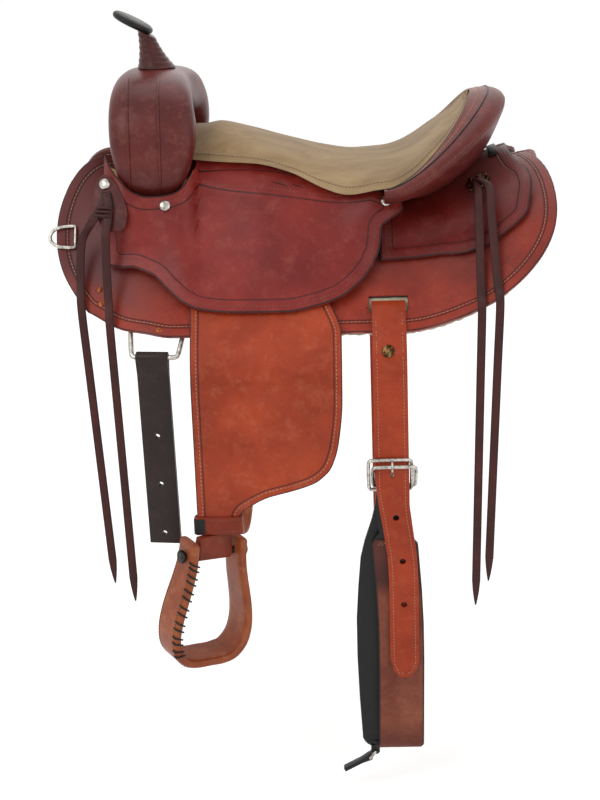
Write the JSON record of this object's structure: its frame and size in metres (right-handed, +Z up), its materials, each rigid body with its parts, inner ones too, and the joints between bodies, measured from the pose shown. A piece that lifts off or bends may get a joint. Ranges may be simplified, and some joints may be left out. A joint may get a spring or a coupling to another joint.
{
  "type": "trail saddle",
  "caption": "Western trail saddle with padded suede seat, tall horn, rounded skirts, fenders with bell stirrups, saddle strings and flank cinch.",
  "frame": {"origin": "top of the horse's back, on the middle line, under the middle of the seat", "axes": "-X towards the horn and the horse's head, +X towards the cantle, -Y the near (left) side, +Z up"},
  "size_m": [0.6702, 0.5958, 1.0271],
  "materials": {
    "antique_bronze": "antiqued bronze",
    "black_leather": "black leather, satin",
    "fender_leather": "russet leather, waxed",
    "fleece_wool": "cream fleece",
    "ground_seat_leather": "rough skived leather",
    "jockey_leather": "oxblood skirting leather, polished",
    "latigo_leather": "dark brown oiled latigo",
    "seat_suede": "padded suede, matte",
    "skirt_leather": "russet skirting leather, waxed",
    "stainless_steel": "polished stainless steel",
    "stirrup_leather_wrap": "tan leather, waxed",
    "string_leather": "oxblood latigo lace, dull",
    "tree_wood": "raw softwood"
  },
  "bodies": {
    "saddle": {"cantle_cover": "jockey_leather", "fleece_near": "fleece_wool", "fleece_off": "fleece_wool", "front_rosette_near": "jockey_leather", "front_rosette_off": "jockey_leather", "ground_seat": "ground_seat_leather", "horn_cap": "black_leather", "horn_neck_wrap": "jockey_leather", "horn_post": "stainless_steel", "rear_jockey_near": "jockey_leather", "rear_jockey_off": "jockey_leather", "rear_jockey_tie": "black_leather", "rear_rosette_near": "antique_bronze", "rear_rosette_off": "antique_bronze", "rigging_ring_near": "stainless_steel", "rigging_ring_off": "stainless_steel", "rosette_screw_near": "stainless_steel", "rosette_screw_off": "stainless_steel", "seat_cushion": "seat_suede", "seat_jockey_near": "jockey_leather", "seat_jockey_off": "jockey_leather", "seat_screw_near": "stainless_steel", "seat_screw_off": "stainless_steel", "skirt_near": "skirt_leather", "skirt_off": "skirt_leather", "swell_cover": "jockey_leather", "swell_screw_near": "stainless_steel", "swell_screw_off": "stainless_steel", "tree_bar_near": "tree_wood", "tree_bar_off": "tree_wood", "tree_cantle": "tree_wood", "tree_fork": "tree_wood"},
    "fender_set_near": {"fender_near": "fender_leather", "stirrup_leather_near": "fender_leather", "hobble_strap_near": "fender_leather"},
    "stirrup_hanger_near": {"stirrup_loop_near": "fender_leather", "stirrup_bolt_near": "stainless_steel"},
    "stirrup_frame_near": {"stirrup_near": "stirrup_leather_wrap"},
    "breast_dee_set_near": {"breast_dee_near": "stainless_steel"},
    "front_string_set_near": {"front_strings_near": "string_leather"},
    "rear_string_set_near": {"rear_strings_near": "string_leather"},
    "billet_near": {"back_billet_near": "fender_leather"},
    "fender_set_off": {"fender_off": "fender_leather", "stirrup_leather_off": "fender_leather", "hobble_strap_off": "fender_leather"},
    "stirrup_hanger_off": {"stirrup_loop_off": "fender_leather", "stirrup_bolt_off": "stainless_steel"},
    "stirrup_frame_off": {"stirrup_off": "stirrup_leather_wrap"},
    "breast_dee_set_off": {"breast_dee_off": "stainless_steel"},
    "front_string_set_off": {"front_strings_off": "string_leather"},
    "rear_string_set_off": {"rear_strings_off": "string_leather"},
    "billet_off": {"back_billet_off": "fender_leather"},
    "latigo": {"latigo_near": "latigo_leather"},
    "off_side_billet": {"off_billet": "latigo_leather"},
    "cinch": {"flank_cinch": "stirrup_leather_wrap", "cinch_buckle_near": "stainless_steel", "cinch_buckle_far": "stainless_steel", "buckle_tongue": "stainless_steel"},
    "connector_link": {"connector_ring": "stainless_steel"},
    "connector": {"connector_strap": "black_leather"}
  },
  "joints": [
    {"name": "fender_swing_near", "type": "hinge", "parent": "saddle", "child": "fender_set_near", "pos_m": [-0.035, -0.14014, -0.03981], "axis": [0, -0.788, 0.6157], "range_deg": [-10, 10]},
    {"name": "stirrup_turn_near", "type": "hinge", "parent": "fender_set_near", "child": "stirrup_hanger_near", "pos_m": [-0.114, -0.24125, -0.39204], "axis": [0, 0, 1], "range_deg": [-30, 30]},
    {"name": "stirrup_swing_near", "type": "hinge", "parent": "stirrup_hanger_near", "child": "stirrup_frame_near", "pos_m": [-0.11762, -0.24125, -0.41779], "axis": [0.821, 0.5592, -0.1154], "range_deg": [-25, 25]},
    {"name": "breast_dee_swing_near", "type": "hinge", "parent": "saddle", "child": "breast_dee_set_near", "pos_m": [-0.291, -0.10665, -0.01794], "axis": [0, 0.4732, 0.8809], "range_deg": [0, 60]},
    {"name": "front_strings_swing_near", "type": "hinge", "parent": "saddle", "child": "front_string_set_near", "pos_m": [-0.24136, -0.13604, 0.05183], "axis": [-1, 0, 0], "range_deg": [0, 25]},
    {"name": "rear_strings_swing_near", "type": "hinge", "parent": "saddle", "child": "rear_string_set_near", "pos_m": [0.24074, -0.09905, 0.04276], "axis": [-1, 0, 0], "range_deg": [0, 25]},
    {"name": "back_billet_swing_near", "type": "hinge", "parent": "saddle", "child": "billet_near", "pos_m": [0.121, -0.178, -0.10223], "axis": [-1, 0, 0], "range_deg": [0, 40]},
    {"name": "fender_swing_off", "type": "hinge", "parent": "saddle", "child": "fender_set_off", "pos_m": [-0.035, 0.14014, -0.03981], "axis": [0, -0.788, -0.6157], "range_deg": [-10, 10]},
    {"name": "stirrup_turn_off", "type": "hinge", "parent": "fender_set_off", "child": "stirrup_hanger_off", "pos_m": [-0.114, 0.24125, -0.39204], "axis": [0, 0, 1], "range_deg": [-30, 30]},
    {"name": "stirrup_swing_off", "type": "hinge", "parent": "stirrup_hanger_off", "child": "stirrup_frame_off", "pos_m": [-0.11762, 0.24125, -0.41779], "axis": [0.273, -0.9613, -0.0384], "range_deg": [-25, 25]},
    {"name": "breast_dee_swing_off", "type": "hinge", "parent": "saddle", "child": "breast_dee_set_off", "pos_m": [-0.291, 0.10665, -0.01794], "axis": [0, 0.4732, -0.8809], "range_deg": [0, 60]},
    {"name": "front_strings_swing_off", "type": "hinge", "parent": "saddle", "child": "front_string_set_off", "pos_m": [-0.24136, 0.13604, 0.05183], "axis": [1, 0, 0], "range_deg": [0, 25]},
    {"name": "rear_strings_swing_off", "type": "hinge", "parent": "saddle", "child": "rear_string_set_off", "pos_m": [0.24074, 0.09905, 0.04276], "axis": [1, 0, 0], "range_deg": [0, 25]},
    {"name": "back_billet_swing_off", "type": "hinge", "parent": "saddle", "child": "billet_off", "pos_m": [0.121, 0.178, -0.10223], "axis": [1, 0, 0], "range_deg": [0, 40]},
    {"name": "latigo_swing", "type": "hinge", "parent": "saddle", "child": "latigo", "pos_m": [-0.183, -0.20869, -0.159], "axis": [-0.991, 0.1339, 0], "range_deg": [-6, 45]},
    {"name": "off_billet_swing", "type": "hinge", "parent": "saddle", "child": "off_side_billet", "pos_m": [-0.183, 0.20869, -0.159], "axis": [0.991, 0.1339, 0], "range_deg": [-6, 45]},
    {"name": "cinch_swing", "type": "hinge", "parent": "billet_near", "child": "cinch", "pos_m": [0.121, -0.22635, -0.31857], "axis": [1, 0, 0], "range_deg": [0, 12]},
    {"name": "connector_ring_swing", "type": "hinge", "parent": "cinch", "child": "connector_link", "pos_m": [0.091, -0.20925, -0.72857], "axis": [0, 1, 0], "range_deg": [-20, 20]},
    {"name": "connector_strap_swing", "type": "hinge", "parent": "connector_link", "child": "connector", "pos_m": [0.083, -0.20925, -0.73957], "axis": [0, 1, 0], "range_deg": [-25, 25]}
  ]
}
